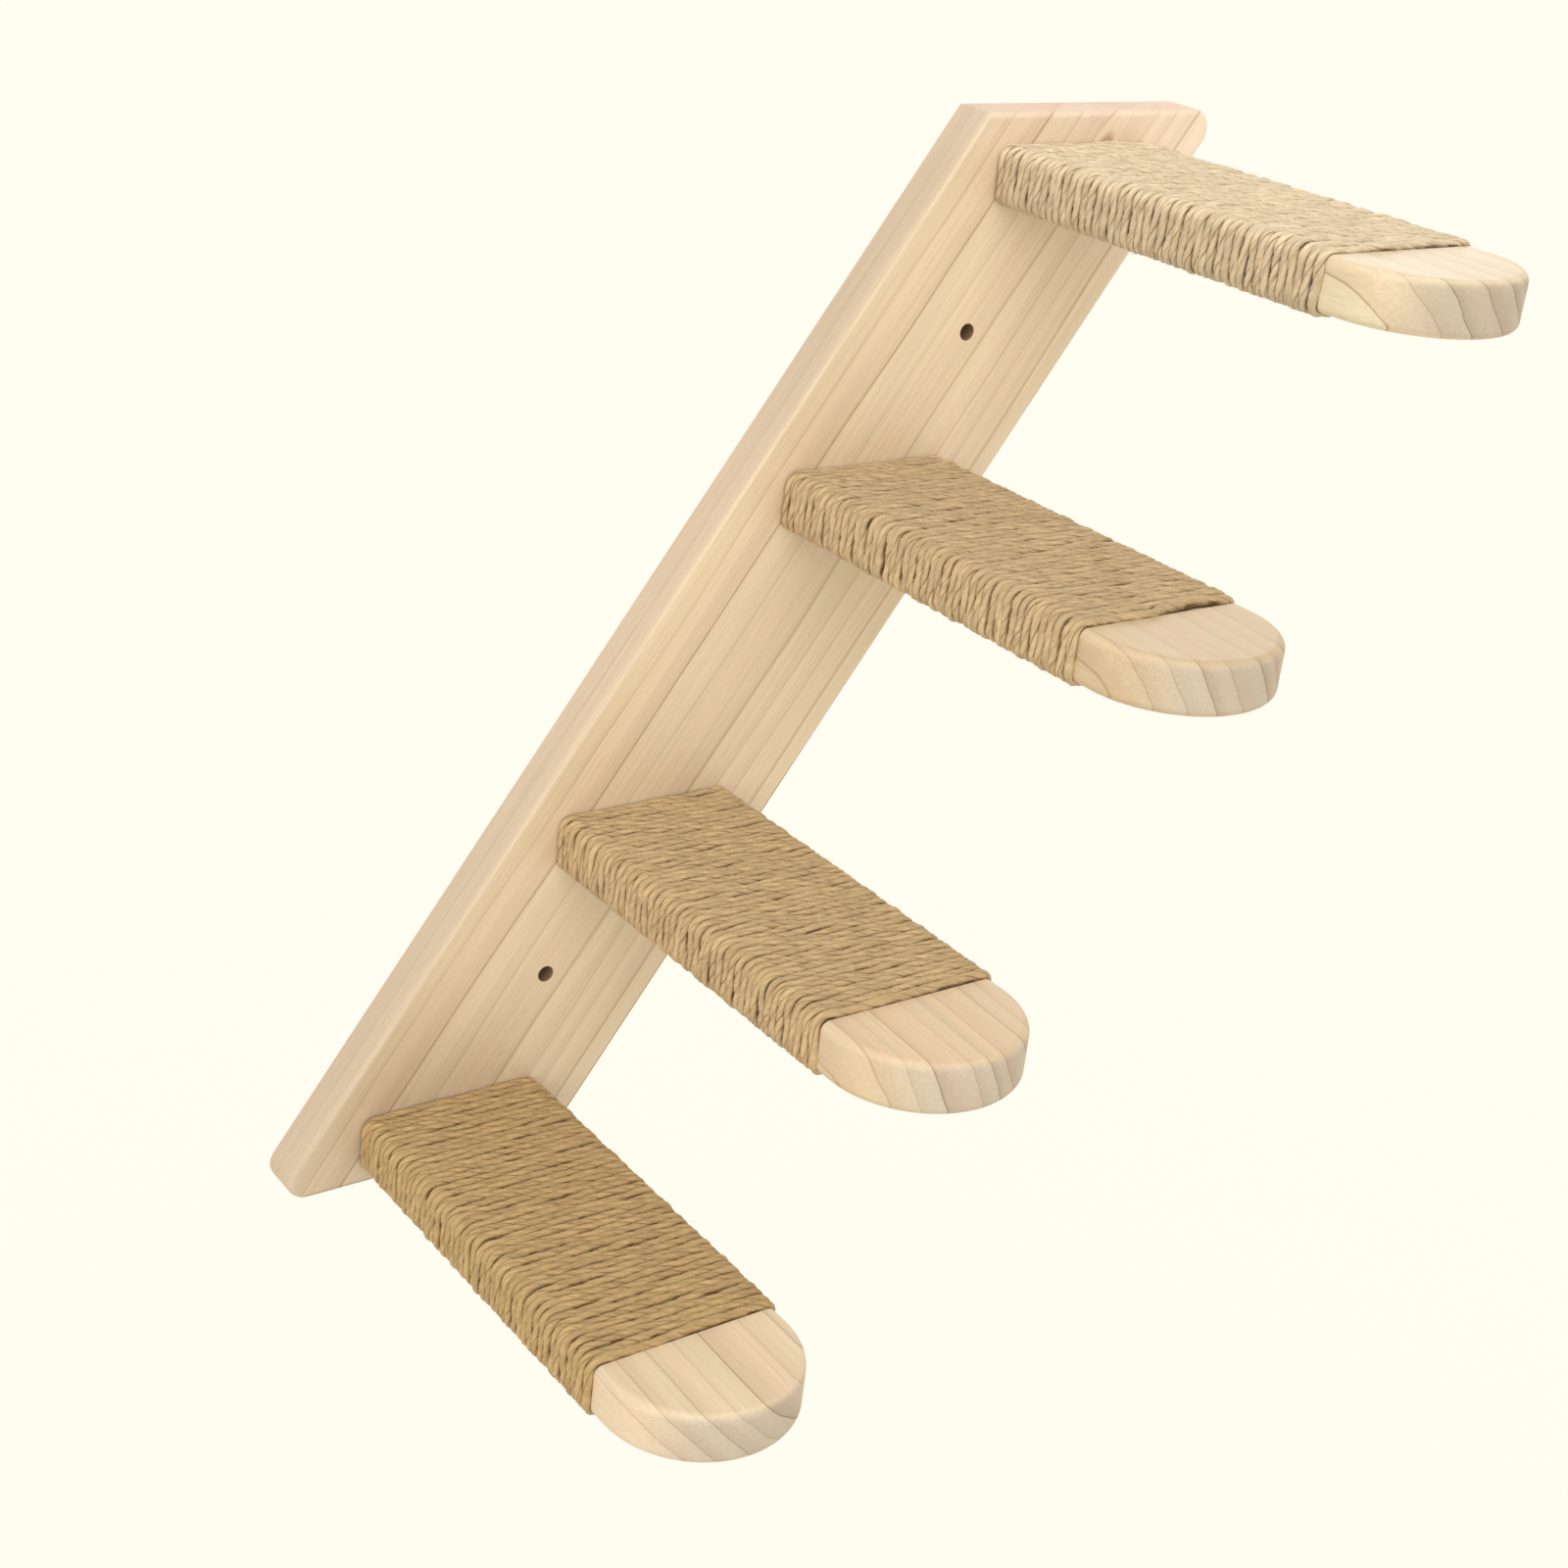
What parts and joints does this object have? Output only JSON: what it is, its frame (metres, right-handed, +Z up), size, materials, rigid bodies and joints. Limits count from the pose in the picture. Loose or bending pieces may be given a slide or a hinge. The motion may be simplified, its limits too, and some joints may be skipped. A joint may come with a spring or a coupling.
{
  "type": "cat wall climbing steps",
  "caption": "Slanted wooden wall board that carries level rope-wound treads with rounded noses, as climbing steps for a cat.",
  "frame": {"origin": "middle of the board's wall face", "axes": "+X to the right along the wall, +Y into the wall, +Z up"},
  "size_m": [0.4762, 0.28, 0.492],
  "materials": {
    "pine": "planed and sanded, unpainted",
    "jute_rope": "twisted natural fibre",
    "zinc_steel": "zinc plated",
    "beech": "raw turned wood"
  },
  "bodies": {
    "root": {"back_board": "pine", "tread_1": "pine", "tread_1_rope": "jute_rope", "tread_1_screws": "zinc_steel", "tread_1_dowels": "beech", "tread_1_rope_staples": "zinc_steel", "tread_2": "pine", "tread_2_rope": "jute_rope", "tread_2_screws": "zinc_steel", "tread_2_dowels": "beech", "tread_2_rope_staples": "zinc_steel", "tread_3": "pine", "tread_3_rope": "jute_rope", "tread_3_screws": "zinc_steel", "tread_3_dowels": "beech", "tread_3_rope_staples": "zinc_steel", "tread_4": "pine", "tread_4_rope": "jute_rope", "tread_4_screws": "zinc_steel", "tread_4_dowels": "beech", "tread_4_rope_staples": "zinc_steel"}
  },
  "joints": []
}
